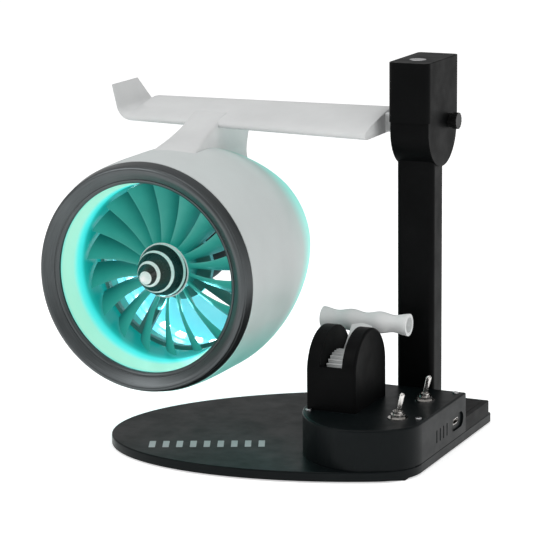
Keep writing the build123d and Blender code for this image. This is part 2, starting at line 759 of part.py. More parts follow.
with BuildPart() as motor:
    with BuildSketch(disc_plane(mount_t1)):
        Circle(motor_r)
    extrude(amount=motor_len)
    fillet(motor.edges().group_by(Axis.Y)[-1], 1.5)
    with BuildSketch(disc_plane(mount_t1)):
        Circle(shaft_r + run_gap)
    extrude(amount=20.0, mode=Mode.SUBTRACT)
    with BuildSketch(disc_plane(mount_t1)):
        with PolarLocations(bolt_circle_r, mount_bolts, start_angle=90):
            Circle(1.2)
    extrude(amount=5.0, mode=Mode.SUBTRACT)

with BuildPart() as motor_cover:
    with BuildSketch(nacelle_plane()):
        with BuildLine():
            Polyline((mount_t1, motor_r + 1.0), (mount_t1, motor_r + 2.8), (mount_t1 + 24, motor_r + 2.8))
            Spline((mount_t1 + 24, motor_r + 2.8), (mount_t1 + 45, 10.5), (mount_t1 + 66, 2.5),
                   tangents=[(1, 0), (1, -0.35)])
            Polyline((mount_t1 + 66, 2.5), (mount_t1 + 66, 1.0), (mount_t1 + 60, 1.0))
            Spline((mount_t1 + 60, 1.0), (mount_t1 + 46, 7.5), (mount_t1 + 30, motor_r + 1.0),
                   tangents=[(-1, 0.35), (-1, 0)])
            Line((mount_t1 + 30, motor_r + 1.0), (mount_t1, motor_r + 1.0))
        make_face()
    revolve(axis=nacelle_axis)

# ---------------------------------------------------------------- fan, turning about the nacelle's axis
blade_mid_t = (hub_t0 + hub_t1) / 2
# radius, chord, thickness, stagger from the axis, sideways shift
blade_sections = ((hub_r - 2.5, 12.5, 2.2, 20, 0.0), (34.0, 17.0, 1.6, 34, 1.2),
                  (fan_tip_r, 20.0, 1.2, 46, 0.0))

with BuildPart() as blade:
    for radius, chord, thick, stagger, shift in blade_sections:
        lean = math.radians(stagger)
        with BuildSketch(Plane(origin=(nac_x + shift, nac_y + blade_mid_t, nac_z + radius),
                               x_dir=(math.sin(lean), math.cos(lean), 0), z_dir=(0, 0, 1))):
            with BuildLine():
                ThreePointArc((-chord / 2, 0), (0, thick / 2), (chord / 2, 0))
                ThreePointArc((chord / 2, 0), (0, -thick / 2), (-chord / 2, 0))
            make_face()
    loft()

with BuildPart() as fan_rotor:
    with BuildSketch(disc_plane(hub_t0)):
        Circle(hub_r)
    extrude(amount=hub_t1 - hub_t0)
    for index in range(blade_count):
        add(blade.part.rotate(nacelle_axis, index * 360 / blade_count))
    with BuildSketch(disc_plane(hub_t0)):
        Circle(shaft_r)
    extrude(amount=hub_t1 - hub_t0, mode=Mode.SUBTRACT)

with BuildPart() as fan_shaft:
    with BuildSketch(disc_plane(hub_t0)):
        Circle(shaft_r)
    extrude(amount=mount_t1 + 19.0 - hub_t0)

with BuildPart() as spinner:
    with BuildSketch(nacelle_plane()):
        with BuildLine():
            nose = Spline((spin_tip_t, 0), (spin_tip_t + 9.0, 9.0), (spin_base_t - 1.0, spin_base_r),
                          tangents=[(0.35, 1), (1, 0.25)])
            Polyline(nose @ 1, (spin_base_t - 1.0, 0), nose @ 0)
        make_face()
    revolve(axis=nacelle_axis)

with BuildPart() as spinner_rim:
    with BuildSketch(disc_plane(spin_base_t - 1.0)):
        Circle(spin_base_r + 0.6)
        Circle(shaft_r, mode=Mode.SUBTRACT)
    extrude(amount=1.0)


# ---------------------------------------------------------------- throttle
def side_plane(x, y=pivot_y, z=pivot_z):
    """Plane across the pivot: local x is +Y and local y is +Z."""
    return Plane(origin=(x, y, z), x_dir=(0, 1, 0), z_dir=(1, 0, 0))


quad_half = (quad_y1 - quad_y0) / 2
quad_cy = (quad_y0 + quad_y1) / 2
pivot_pin_r = 2.0

with BuildPart() as throttle_housing:
    with BuildSketch(Plane.YZ.offset(quad_x0)):
        with Locations((quad_cy, quad_arch_z)):
            Circle(quad_half)
        with Locations((quad_cy, (box_top + quad_arch_z) / 2)):
            Rectangle(2 * quad_half, quad_arch_z - box_top)
        with Locations((quad_cy, box_top + quad_half)):
            Rectangle(2 * quad_half, 2 * quad_half, mode=Mode.INTERSECT)
    extrude(amount=quad_x1 - quad_x0)
    outer_sides = throttle_housing.faces().filter_by(Axis.X)
    arch_edges = outer_sides.edges().filter_by(GeomType.CIRCLE)
    fillet(arch_edges, 1.6)
    # slot for the lever, and the well below it for the wheel
    with BuildSketch(Plane.XY.offset(slot_floor)):
        with Locations((quad_cx, quad_cy)):
            Rectangle(slot_x1 - slot_x0, 2 * quad_half)
    extrude(amount=40.0, mode=Mode.SUBTRACT)
    with BuildSketch(Plane.XY.offset(box_top)):
        with Locations((quad_cx, quad_cy)):
            Rectangle(slot_x1 - slot_x0, 2 * (quad_half - box_wall))
    extrude(amount=slot_floor - box_top, mode=Mode.SUBTRACT)
    with BuildSketch(side_plane(quad_x0 + 1.6)):
        Circle(pivot_pin_r + run_gap)
    extrude(amount=quad_x1 - quad_x0 - 3.2, mode=Mode.SUBTRACT)
    with BuildSketch(Plane.XY.offset(box_top)):
        with Locations(*quad_screws):
            Circle(1.4)
    extrude(amount=9.0, mode=Mode.SUBTRACT)

with BuildPart() as quad_screw_set:
    with BuildSketch(Plane.XY.offset(box_top - box_roof)):
        with Locations(*quad_screws):
            Circle(2.6)
    extrude(amount=-1.6)
    with BuildSketch(Plane.XY.offset(box_top - box_roof)):
        with Locations(*quad_screws):
            Circle(1.35)
    extrude(amount=10.0)

wheel_x0, wheel_x1 = slot_x0 + 0.6, slot_x1 - 0.6
contact = 90.0 + pinion_dir
centre_gap = module * (wheel_teeth + pinion_teeth) / 2
pinion_y = pivot_y + centre_gap * math.cos(math.radians(contact))
pinion_z = pivot_z + centre_gap * math.sin(math.radians(contact))
lever_angle = 90.0 - lever_tilt
lever_dir = (0, math.cos(math.radians(lever_angle)), math.sin(math.radians(lever_angle)))
grip_y = pivot_y + lever_reach * math.cos(math.radians(lever_angle))
grip_z = pivot_z + lever_reach * math.sin(math.radians(lever_angle))

with BuildPart() as throttle_lever:
    with BuildSketch(side_plane(wheel_x0)):
        with BuildLine():
            Polyline(*gear_outline(wheel_teeth, 0.25, contact), close=True)
        make_face()
    extrude(amount=wheel_x1 - wheel_x0)
    with BuildSketch(Plane(origin=(wheel_x0, pivot_y, pivot_z), x_dir=lever_dir, z_dir=(1, 0, 0))):
        with BuildLine():
            Polyline((6, -5.0), (lever_reach, -3.6), (lever_reach, 3.6), (6, 5.0), close=True)
        make_face()
    extrude(amount=wheel_x1 - wheel_x0)
    # waved grip along X
    with BuildSketch(Plane(origin=(quad_cx - grip_len / 2, grip_y, grip_z), x_dir=(1, 0, 0),
                           z_dir=(0, -1, 0))):
        with BuildLine():
            wave = Spline(*[(grip_len * i / 24, grip_mid_r + grip_wave * math.cos(math.pi * i / 4))
                            for i in range(25)])
            Polyline(wave @ 1, (grip_len, 0), (0, 0), wave @ 0)
        make_face()
    revolve(axis=Axis((0, grip_y, grip_z), (1, 0, 0)))
    # hollow ends
    for end_x, inward in ((quad_cx - grip_len / 2, 1), (quad_cx + grip_len / 2, -1)):
        with BuildSketch(side_plane(end_x, grip_y, grip_z)):
            Circle(4.7)
        extrude(amount=7.0 * inward, mode=Mode.SUBTRACT)
    with BuildSketch(side_plane(wheel_x0)):
        Circle(pivot_pin_r)
    extrude(amount=wheel_x1 - wheel_x0, mode=Mode.SUBTRACT)

with BuildPart() as pivot_pin:
    with BuildSketch(side_plane(quad_x0 + 1.7)):
        Circle(pivot_pin_r)
    extrude(amount=quad_x1 - quad_x0 - 3.4)

# potentiometer, driven by a pinion in mesh with the lever's wheel
pinion_x0, pinion_len = wheel_x0 + 0.5, 7.0
pot_shaft_r, pot_neck_r, pot_r = 3.0, 3.5, 7.8
bracket_x, bracket_t = 11.6, 2.0
pot_len = 8.4

with BuildPart() as pot_pinion:
    with BuildSketch(side_plane(pinion_x0, pinion_y, pinion_z)):
        with BuildLine():
            Polyline(*gear_outline(pinion_teeth, 0.25, contact + 180 + 180 / pinion_teeth), close=True)
        make_face()
        Circle(pot_shaft_r, mode=Mode.SUBTRACT)
    extrude(amount=pinion_len)

with BuildPart() as pot_shaft:
    with BuildSketch(side_plane(pinion_x0, pinion_y, pinion_z)):
        Circle(pot_shaft_r)
    extrude(amount=bracket_x + bracket_t + 5.0 - pinion_x0)

with BuildPart() as potentiometer:
    with BuildSketch(side_plane(bracket_x + bracket_t, pinion_y, pinion_z)):
        Circle(pot_r)
    extrude(amount=pot_len)
    with BuildSketch(side_plane(bracket_x - 3.4, pinion_y, pinion_z)):
        Circle(pot_neck_r)
    extrude(amount=bracket_t + 3.4)
    with BuildSketch(side_plane(bracket_x - 3.4, pinion_y, pinion_z)):
        Circle(pot_shaft_r + run_gap)
    extrude(amount=bracket_t + 3.4 + 6.0, mode=Mode.SUBTRACT)
    with BuildSketch(side_plane(bracket_x + bracket_t + 2.0, pinion_y, pinion_z)):
        with Locations((pot_r + 1.0, -3.0), (pot_r + 1.0, 0.0), (pot_r + 1.0, 3.0)):
            Rectangle(3.4, 1.0)
    extrude(amount=0.8)

with BuildPart() as pot_nut:
    with BuildSketch(side_plane(bracket_x - 1.9, pinion_y, pinion_z)):
        RegularPolygon(4.6, 6, major_radius=False)
        Circle(pot_neck_r, mode=Mode.SUBTRACT)
    extrude(amount=1.9)

with BuildPart() as pot_bracket:
    with BuildSketch(side_plane(bracket_x, pinion_y, 0)):
        with Locations((0, (plate_top + pinion_z + 7.6) / 2)):
            Rectangle(19.0, pinion_z + 7.6 - plate_top)
        with Locations((0, pinion_z)):
            Circle(pot_neck_r, mode=Mode.SUBTRACT)
    extrude(amount=bracket_t)
    with BuildSketch(Plane.XY.offset(plate_top)):
        with Locations((bracket_x + bracket_t + 4.0, pinion_y)):
            Rectangle(8.0, 19.0)
    extrude(amount=2.0)


# ---------------------------------------------------------------- toggle switches
bushing_r, bushing_bore, bushing_top = 3.0, 2.45, box_top + 4.4
ball_r = bushing_bore - run_gap
bat_len, bat_root_r, bat_tip_r = 13.6, 1.4, 1.55


def toggle_body(x, y):
    with BuildPart() as body:
        with BuildSketch(Plane.XY.offset(box_top - box_roof)):
            with Locations((x, y)):
                Rectangle(8.0, 13.0)
        extrude(amount=-9.5)
        with BuildSketch(Plane.XY.offset(box_top - box_roof)):
            with Locations((x, y)):
                Circle(bushing_r)
        extrude(amount=bushing_top - box_top + box_roof)
        with BuildSketch(Plane.XY.offset(bushing_top)):
            with Locations((x, y)):
                Circle(bushing_bore)
        extrude(amount=box_top - 0.6 - bushing_top, mode=Mode.SUBTRACT)
        with BuildSketch(Plane.XY.offset(box_top - box_roof - 9.5)):
            with Locations((x, y)):
                with GridLocations(1, 4.7, 1, 3):
                    Rectangle(1.2, 0.8)
        extrude(amount=-3.5)
    return body


def toggle_bat(x, y):
    """Bat lever leaning to +X, on the ball that it turns about."""
    lean = math.radians(toggle_tilt)
    along = Plane(origin=(x, y, toggle_pivot_z), x_dir=(0, 1, 0), z_dir=(math.sin(lean), 0, math.cos(lean)))
    with BuildPart(along) as bat:
        Sphere(ball_r)
        Cone(bat_root_r, bat_tip_r, bat_len - bat_tip_r, align=(Align.CENTER, Align.CENTER, Align.MIN))
        with Locations((0, 0, bat_len - bat_tip_r)):
            Sphere(bat_tip_r)
    return bat


toggle_body_front = toggle_body(*toggles["front"])
toggle_body_rear = toggle_body(*toggles["rear"])
toggle_bat_front = toggle_bat(*toggles["front"])
toggle_bat_rear = toggle_bat(*toggles["rear"])

with BuildPart() as toggle_washers:
    with BuildSketch(Plane.XY.offset(box_top)):
        with Locations(*toggles.values()):
            Circle(5.9)
            Circle(bushing_r, mode=Mode.SUBTRACT)
    extrude(amount=0.6)

with BuildPart() as toggle_nuts:
    with BuildSketch(Plane.XY.offset(box_top + 0.6)):
        with Locations(*toggles.values()):
            RegularPolygon(4.0, 6, major_radius=False)
            Circle(bushing_r, mode=Mode.SUBTRACT)
    extrude(amount=2.0)

# ---------------------------------------------------------------- electronics in the control box
board_z = plate_top + 4.0
board_x0, board_x1, board_y0, board_y1 = 25.0, 39.0, -60.0, 8.0
posts = [(x, y) for x in (board_x0 + 3, board_x1 - 3) for y in (board_y0 + 3, board_y1 - 3)]

with BuildPart() as control_board:
    with BuildSketch(Plane.XY.offset(board_z)):
        with Locations(((board_x0 + board_x1) / 2, (board_y0 + board_y1) / 2)):
            Rectangle(board_x1 - board_x0, board_y1 - board_y0)
    extrude(amount=1.6)
    with BuildSketch(Plane.XY.offset(board_z + 1.6)):
        with Locations(((board_x0 + board_x1) / 2, -42.0), ((board_x0 + board_x1) / 2, -14.0)):
            Rectangle(8.0, 10.0)
    extrude(amount=1.8)
    with BuildSketch(Plane.XY.offset(board_z + 1.6)):
        with Locations(((board_x0 + board_x1) / 2, -28.0)):
            Circle(3.2)
    extrude(amount=9.0)

with BuildPart() as board_posts:
    with BuildSketch(Plane.XY.offset(plate_top)):
        with Locations(*posts):
            Circle(2.4)
    extrude(amount=board_z - plate_top)

with BuildPart() as power_socket:
    with BuildSketch(Plane.YZ.offset(right_x - 1.3)):
        with Locations((port_y, port_z)):
            SlotOverall(socket_size[0] - 0.1, socket_size[1] - 0.1)
            SlotOverall(socket_size[0] - 0.8, socket_size[1] - 0.8, mode=Mode.SUBTRACT)
    extrude(amount=-7.2)
    with BuildSketch(Plane.YZ.offset(right_x - 8.5)):
        with Locations((port_y, port_z)):
            SlotOverall(socket_size[0] - 0.1, socket_size[1] - 0.1)
    extrude(amount=-0.6)
    with BuildSketch(Plane.YZ.offset(right_x - 8.5)):
        with Locations((port_y, port_z)):
            Rectangle(6.6, 0.8)
    extrude(amount=5.5)

with BuildPart() as socket_board:
    with BuildSketch(Plane.XY.offset(port_z - socket_size[1] / 2)):
        with Locations((right_x - box_wall - 7.5, port_y)):
            Rectangle(13.0, 11.6)
    extrude(amount=-1.2)
    with BuildSketch(Plane.XY.offset(port_z - socket_size[1] / 2 - 1.2)):
        with Locations((right_x - box_wall - 11.0, port_y)):
            Rectangle(5.0, 9.0)
    extrude(amount=plate_top - port_z + socket_size[1] / 2 + 1.2)

# ---------------------------------------------------------------- files
nodes = {
    "anti_slip_mat": anti_slip_mat, "base_plate": base_plate, "foot_bolts": foot_bolts,
    "control_box": control_box, "cover_screws": cover_screw_set, "rear_box": rear_box,
    "rear_lid": rear_lid, "column": column, "head_shell": head_shell, "head_lid": head_lid,
    "tie_bolt": tie_bolt, "cap_disc": cap_disc, "clamp_knob": clamp_knob, "clamp_stud": clamp_stud,
    "wing": wing, "pylon": pylon, "cowl": cowl, "lip_ring": lip_ring, "intake_duct": intake_duct,
    "light_ring": light_ring, "light_strip": light_strip, "light_chips": light_chips,
    "motor_mount": motor_mount, "mount_screws": mount_screws, "shaft_bush": shaft_bush,
    "motor": motor, "motor_cover": motor_cover, "fan_rotor": fan_rotor, "fan_shaft": fan_shaft,
    "spinner": spinner, "spinner_rim": spinner_rim, "throttle_housing": throttle_housing,
    "housing_screws": quad_screw_set, "throttle_lever": throttle_lever, "pivot_pin": pivot_pin,
    "pot_pinion": pot_pinion, "pot_shaft": pot_shaft, "potentiometer": potentiometer,
    "pot_nut": pot_nut, "pot_bracket": pot_bracket, "toggle_body_front": toggle_body_front,
    "toggle_body_rear": toggle_body_rear, "toggle_bat_front": toggle_bat_front,
    "toggle_bat_rear": toggle_bat_rear, "toggle_washers": toggle_washers, "toggle_nuts": toggle_nuts,
    "control_board": control_board, "board_posts": board_posts, "power_socket": power_socket,
    "socket_board": socket_board,
}
for node_name, piece in nodes.items():
    piece.part.label = node_name
    export_step(piece.part, f"parts/{node_name}.step")
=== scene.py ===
"""Looks of the engine model stand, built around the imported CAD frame.  Metres; +X right, +Y back, +Z up."""
import math

import bpy
from mathutils import Matrix, Vector


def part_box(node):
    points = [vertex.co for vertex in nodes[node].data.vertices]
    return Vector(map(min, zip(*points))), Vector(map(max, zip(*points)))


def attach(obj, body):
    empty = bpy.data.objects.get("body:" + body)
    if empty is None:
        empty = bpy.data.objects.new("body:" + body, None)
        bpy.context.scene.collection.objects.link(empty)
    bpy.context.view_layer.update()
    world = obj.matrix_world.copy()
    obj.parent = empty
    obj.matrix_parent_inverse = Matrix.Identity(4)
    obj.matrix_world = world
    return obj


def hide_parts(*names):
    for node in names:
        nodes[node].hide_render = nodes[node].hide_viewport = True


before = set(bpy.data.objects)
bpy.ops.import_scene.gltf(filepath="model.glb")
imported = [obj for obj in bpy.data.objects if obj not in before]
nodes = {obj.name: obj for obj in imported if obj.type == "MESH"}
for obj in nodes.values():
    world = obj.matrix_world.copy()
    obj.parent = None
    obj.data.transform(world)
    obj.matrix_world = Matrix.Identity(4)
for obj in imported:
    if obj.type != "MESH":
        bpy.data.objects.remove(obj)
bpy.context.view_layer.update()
MM = 0.001

# ------------------------------------------------------------------ sizes read from the frame, in mm
def span(name):
    low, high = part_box(name)
    return [v / MM for v in low], [v / MM for v in high]


ring_lo, ring_hi = span("lip_ring")
cowl_lo, cowl_hi = span("cowl")
plate_lo, plate_hi = span("base_plate")
box_lo, box_hi = span("control_box")
head_lo, head_hi = span("head_shell")
NX, NZ = (ring_lo[0] + ring_hi[0]) / 2, (ring_lo[2] + ring_hi[2]) / 2
NY = ring_lo[1]
SHELL_END = cowl_hi[1] - NY
PLATE_TOP = 6.5


# ------------------------------------------------------------------ mesh helpers
def build(name, verts, faces, body, mat, slot=None, replaces=(), smooth=True, sharp=35):
    mesh = bpy.data.meshes.new(name)
    mesh.from_pydata([(x * MM, y * MM, z * MM) for x, y, z in verts], [], faces)
    mesh.validate()
    obj = bpy.data.objects.new(name, mesh)
    bpy.context.scene.collection.objects.link(obj)
    mesh.materials.append(mat)
    if smooth:
        shade(obj, sharp)
    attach(obj, body)
    if replaces:
        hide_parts(*replaces)
    return obj


def shade(obj, angle=35):
    """Smooth shading with edges over an angle kept sharp."""
    bpy.context.view_layer.objects.active = obj
    for other in bpy.context.selected_objects:
        other.select_set(False)
    obj.select_set(True)
    bpy.ops.object.shade_smooth_by_angle(angle=math.radians(angle))
    obj.select_set(False)


def loft_rings(rings, close=True, cap=True):
    """Vertices and faces of a skin over rings with the same number of points."""
    count = len(rings[0])
    verts = [p for ring in rings for p in ring]
    faces = []
    last = count if close else count - 1
    for i in range(len(rings) - 1):
        for j in range(last):
            k = (j + 1) % count
            faces.append((i * count + j, i * count + k, (i + 1) * count + k, (i + 1) * count + j))
    if cap:
        faces.append(tuple(range(count - 1, -1, -1)))
        faces.append(tuple((len(rings) - 1) * count + j for j in range(count)))
    return verts, faces


def lathe_y(profile, steps=192, cx=NX, cz=NZ, y0=NY, closed=True):
    """Turns a profile of (t behind the lip, radius) about the engine's axis."""
    verts = []
    faces = []
    count = len(profile)
    for i in range(steps):
        a = 2 * math.pi * i / steps
        for t, r in profile:
            verts.append((cx + r * math.sin(a), y0 + t, cz + r * math.cos(a)))
    last = count if closed else count - 1
    for i in range(steps):
        n = (i + 1) % steps
        for j in range(last):
            k = (j + 1) % count
            faces.append((i * count + j, i * count + k, n * count + k, n * count + j))
    return verts, faces


def rounded(points, radii, steps=5):
    """Closed outline with each corner rounded by its own radius."""
    out = []
    n = len(points)
    for i in range(n):
        p, a, b = Vector(points[i]), Vector(points[i - 1]), Vector(points[(i + 1) % n])
        r = radii[i]
        if r <= 0:
            out.append(tuple(p))
            continue
        u, w = (a - p).normalized(), (b - p).normalized()
        half = u.angle(w) / 2
        reach = min(r / math.tan(half), (a - p).length * 0.49, (b - p).length * 0.49)
        s, e = p + u * reach, p + w * reach
        for k in range(steps + 1):
            f = k / steps
            out.append(tuple((1 - f) ** 2 * s + 2 * f * (1 - f) * p + f * f * e))
    return out


def clean(obj):
    """Joins the points that meet on an axis and turns every face outwards."""
    import bmesh
    bm = bmesh.new()
    bm.from_mesh(obj.data)
    bmesh.ops.remove_doubles(bm, verts=bm.verts, dist=1e-6)
    bmesh.ops.recalc_face_normals(bm, faces=bm.faces)
    bm.to_mesh(obj.data)
    bm.free()
    obj.data.update()
    return obj


# ------------------------------------------------------------------ materials
def new_mat(name):
    mat = bpy.data.materials.new(name)
    mat.use_nodes = True
    tree = mat.node_tree
    shader = tree.nodes["Principled BSDF"]
    return mat, tree, shader


def coords(tree, scale=(1, 1, 1)):
    place = tree.nodes.new("ShaderNodeTexCoord")
    mapping = tree.nodes.new("ShaderNodeMapping")
    mapping.inputs["Scale"].default_value = scale
    tree.links.new(place.outputs["Object"], mapping.inputs["Vector"])
    return mapping.outputs["Vector"]


def noise(tree, vector, scale, detail=4.0, rough=0.55):
    node = tree.nodes.new("ShaderNodeTexNoise")
    node.inputs["Scale"].default_value = scale
    node.inputs["Detail"].default_value = detail
    node.inputs["Roughness"].default_value = rough
    tree.links.new(vector, node.inputs["Vector"])
    return node.outputs["Fac"]


def ramp(tree, fac, stops, smooth="LINEAR"):
    node = tree.nodes.new("ShaderNodeValToRGB")
    node.color_ramp.interpolation = smooth
    while len(node.color_ramp.elements) < len(stops):
        node.color_ramp.elements.new(0.5)
    for element, (pos, colour) in zip(node.color_ramp.elements, stops):
        element.position = pos
        element.color = (*colour, 1.0)
    tree.links.new(fac, node.inputs["Fac"])
    return node.outputs["Color"]


def math_node(tree, kind, a, b=None):
    node = tree.nodes.new("ShaderNodeMath")
    node.operation = kind
    for socket, value in zip(node.inputs, (a, b)):
        if value is None:
            continue
        if isinstance(value, (int, float)):
            socket.default_value = value
        else:
            tree.links.new(value, socket)
    return node.outputs[0]


def map_range(tree, value, a, b, c=0.0, d=1.0, kind="SMOOTHSTEP"):
    node = tree.nodes.new("ShaderNodeMapRange")
    node.interpolation_type = kind
    for key, number in (("From Min", a), ("From Max", b), ("To Min", c), ("To Max", d)):
        node.inputs[key].default_value = number
    tree.links.new(value, node.inputs["Value"])
    return node.outputs["Result"]


def bump(tree, shader, height, strength, distance, under=None):
    node = tree.nodes.new("ShaderNodeBump")
    node.inputs["Strength"].default_value = strength
    node.inputs["Distance"].default_value = distance
    tree.links.new(height, node.inputs["Height"])
    if under is not None:
        tree.links.new(under, node.inputs["Normal"])
    tree.links.new(node.outputs["Normal"], shader.inputs["Normal"])
    return node.outputs["Normal"]


def layers(tree, axis="Z", pitch=0.0002):
    """Fine lines of a printed part, one every pitch metres along an axis."""
    node = tree.nodes.new("ShaderNodeTexWave")
    node.wave_type = "BANDS"
    node.bands_direction = axis
    node.inputs["Scale"].default_value = 1 / (pitch * 20)
    node.inputs["Distortion"].default_value = 0.25
    node.inputs["Detail"].default_value = 1.0
    tree.links.new(coords(tree), node.inputs["Vector"])
    return node.outputs["Fac"]


def plastic(name, dark, light, rough=(0.38, 0.5), grain=900.0, depth=0.00004, layered=True, coat=0.0,
            axis="Z", specular=0.5):
    """Moulded or printed plastic: uneven tone, fine grain, layer lines and a varying gloss."""
    mat, tree, shader = new_mat(name)
    vector = coords(tree)
    tone = noise(tree, vector, 28.0, 5.0)
    tree.links.new(ramp(tree, tone, [(0.3, dark), (0.72, light)]), shader.inputs["Base Color"])
    gloss = noise(tree, vector, 70.0, 3.0)
    tree.links.new(map_range(tree, gloss, 0.3, 0.7, *rough, kind="LINEAR"), shader.inputs["Roughness"])
    shader.inputs["Specular IOR Level"].default_value = specular
    shader.inputs["Coat Weight"].default_value = coat
    shader.inputs["Coat Roughness"].default_value = 0.25
    fine = bump(tree, shader, noise(tree, vector, grain, 3.0), 0.35, depth)
    if layered:
        bump(tree, shader, layers(tree, axis), 0.3, 0.00003, fine)
    return mat


def metal(name, dark, light, rough=(0.2, 0.34), stretch=(1, 1, 1), scale=900.0, depth=0.00001, turn=0.0):
    mat, tree, shader = new_mat(name)
    vector = coords(tree, stretch)
    tone = noise(tree, vector, scale, 4.0)
    tree.links.new(ramp(tree, tone, [(0.25, dark), (0.75, light)]), shader.inputs["Base Color"])
    tree.links.new(map_range(tree, tone, 0.3, 0.7, *rough, kind="LINEAR"), shader.inputs["Roughness"])
    shader.inputs["Metallic"].default_value = 1.0
    shader.inputs["Anisotropic"].default_value = turn
    bump(tree, shader, tone, 0.2, depth)
    return mat


def engine_coords(tree):
    """t behind the lip and offsets right and up from the engine's axis, in metres."""
    place = tree.nodes.new("ShaderNodeTexCoord")
    split = tree.nodes.new("ShaderNodeSeparateXYZ")
    tree.links.new(place.outputs["Object"], split.inputs["Vector"])
    right = math_node(tree, "SUBTRACT", split.outputs["X"], NX * MM)
    back = math_node(tree, "SUBTRACT", split.outputs["Y"], NY * MM)
    up = math_node(tree, "SUBTRACT", split.outputs["Z"], NZ * MM)
    return right, back, up


def glow_plastic(name, base, stops, amount, mix, strength, rough=0.45, sss=0.0, painted_light_tint=None):
    """White translucent plastic with a painted glow, an emission standing in for light from inside: it follows mix, a
    function of the engine's coordinates, and optional stops paint the same light into the base colour.
    """
    mat, tree, shader = new_mat(name)
    vector = coords(tree)
    tone = noise(tree, vector, 45.0, 4.0)
    low = tuple(c * 0.95 for c in base)
    tree.links.new(ramp(tree, tone, [(0.3, low), (0.7, base)]), shader.inputs["Base Color"])
    shader.inputs["Roughness"].default_value = rough
    if sss:
        shader.inputs["Subsurface Weight"].default_value = sss
        shader.inputs["Subsurface Radius"].default_value = (0.004, 0.006, 0.006)
        shader.inputs["Subsurface Scale"].default_value = 1.0
    fac = mix(tree, *engine_coords(tree))
    cloud = math_node(tree, "MULTIPLY_ADD", noise(tree, vector, 22.0, 2.0), amount)
    cloud.node.inputs[2].default_value = -amount / 2
    fac = math_node(tree, "ADD", fac, cloud)
    tree.links.new(ramp(tree, fac, stops), shader.inputs["Emission Color"])
    shader.inputs["Emission Strength"].default_value = strength
    # Painted light in the base colour: the white is multiplied by a ramp of the same glow mask, giving painted cyan
    # light and painted shade
    if painted_light_tint:
        painted_tint_mix = tree.nodes.new("ShaderNodeMix")
        painted_tint_mix.data_type, painted_tint_mix.blend_type = "RGBA", "MULTIPLY"
        painted_tint_mix.inputs[0].default_value = 1.0
        tree.links.new(ramp(tree, tone, [(0.3, low), (0.7, base)]), painted_tint_mix.inputs[6])
        tree.links.new(ramp(tree, fac, painted_light_tint), painted_tint_mix.inputs[7])
        tree.links.new(painted_tint_mix.outputs[2], shader.inputs["Base Color"])
    bump(tree, shader, layers(tree, "Y"), 0.25, 0.00003, bump(tree, shader, noise(tree, vector, 900.0), 0.3, 0.00003))
    return mat


black = plastic("black_satin_plastic", (0.0014, 0.0016, 0.0017), (0.003, 0.0032, 0.0034), (0.40, 0.52), specular=0.055)
black_top = plastic("black_plate_plastic", (0.002, 0.0034, 0.0038), (0.0045, 0.0064, 0.007), (0.30, 0.42), layered=False,
                    grain=1500.0, specular=0.09)
black_column = plastic("black_column_plastic", (0.0014, 0.0016, 0.0017), (0.003, 0.0032, 0.0034), (0.38, 0.5),
                       specular=0.055)
rubber = plastic("mat_rubber", (0.005, 0.005, 0.005), (0.010, 0.010, 0.010), (0.7, 0.85), grain=400.0, depth=0.0002,
                 layered=False, specular=0.2)
knob_black = plastic("knob_black", (0.003, 0.003, 0.003), (0.006, 0.006, 0.006), (0.3, 0.42), layered=False, specular=0.2)
white = plastic("white_print_plastic", (0.60, 0.61, 0.61), (0.68, 0.69, 0.69), (0.5, 0.62), depth=0.00005)
lever_white = plastic("lever_white_plastic", (0.70, 0.72, 0.72), (0.78, 0.79, 0.785), (0.42, 0.55), axis="Y")
chrome = metal("toggle_chrome", (0.50, 0.48, 0.46), (0.74, 0.72, 0.70), (0.12, 0.24), scale=300.0)
steel = metal("screw_steel", (0.36, 0.36, 0.37), (0.58, 0.58, 0.59), (0.22, 0.4), scale=500.0)
dark_screw = metal("screw_blackened", (0.10, 0.10, 0.11), (0.2, 0.2, 0.21), (0.3, 0.45), scale=500.0)
brass = metal("bush_brass", (0.55, 0.40, 0.16), (0.75, 0.58, 0.28), (0.25, 0.4), scale=500.0)
mount_grey = plastic("mount_grey_plastic", (0.16, 0.26, 0.25), (0.22, 0.33, 0.31), (0.4, 0.55), layered=False)
board_green = plastic("board_green", (0.02, 0.16, 0.07), (0.05, 0.24, 0.11), (0.3, 0.45), layered=False, grain=2500.0)


def ring_metal():
    """Dark brushed metal with turning marks that run round the engine's axis."""
    mat, tree, shader = new_mat("ring_brushed_metal")
    right, back, up = engine_coords(tree)
    radius = math_node(tree, "SQRT", math_node(tree, "ADD", math_node(tree, "MULTIPLY", right, right),
                                               math_node(tree, "MULTIPLY", up, up)))
    join = tree.nodes.new("ShaderNodeCombineXYZ")
    tree.links.new(math_node(tree, "ADD", radius, back), join.inputs["X"])
    angle = math_node(tree, "ARCTAN2", up, right)
    tree.links.new(math_node(tree, "MULTIPLY", angle, 0.0012), join.inputs["Y"])
    tree.links.new(math_node(tree, "SUBTRACT", back, radius), join.inputs["Z"])
    lines = noise(tree, join.outputs["Vector"], 2600.0, 3.0)
    broad = noise(tree, coords(tree), 30.0, 2.0)
    mixed = math_node(tree, "ADD", math_node(tree, "MULTIPLY", lines, 0.6), math_node(tree, "MULTIPLY", broad, 0.4))
    tree.links.new(ramp(tree, mixed, [(0.3, (0.060, 0.066, 0.068)), (0.7, (0.11, 0.12, 0.124))]), shader.inputs["Base Color"])
    tree.links.new(map_range(tree, lines, 0.3, 0.7, 0.27, 0.4, kind="LINEAR"), shader.inputs["Roughness"])
    shader.inputs["Metallic"].default_value = 0.9
    shader.inputs["Anisotropic"].default_value = 0.8
    grain = tree.nodes.new("ShaderNodeTangent")
    grain.direction_type, grain.axis = "RADIAL", "Y"
    tree.links.new(grain.outputs["Tangent"], shader.inputs["Tangent"])
    bump(tree, shader, lines, 0.25, 0.00002)
    return mat


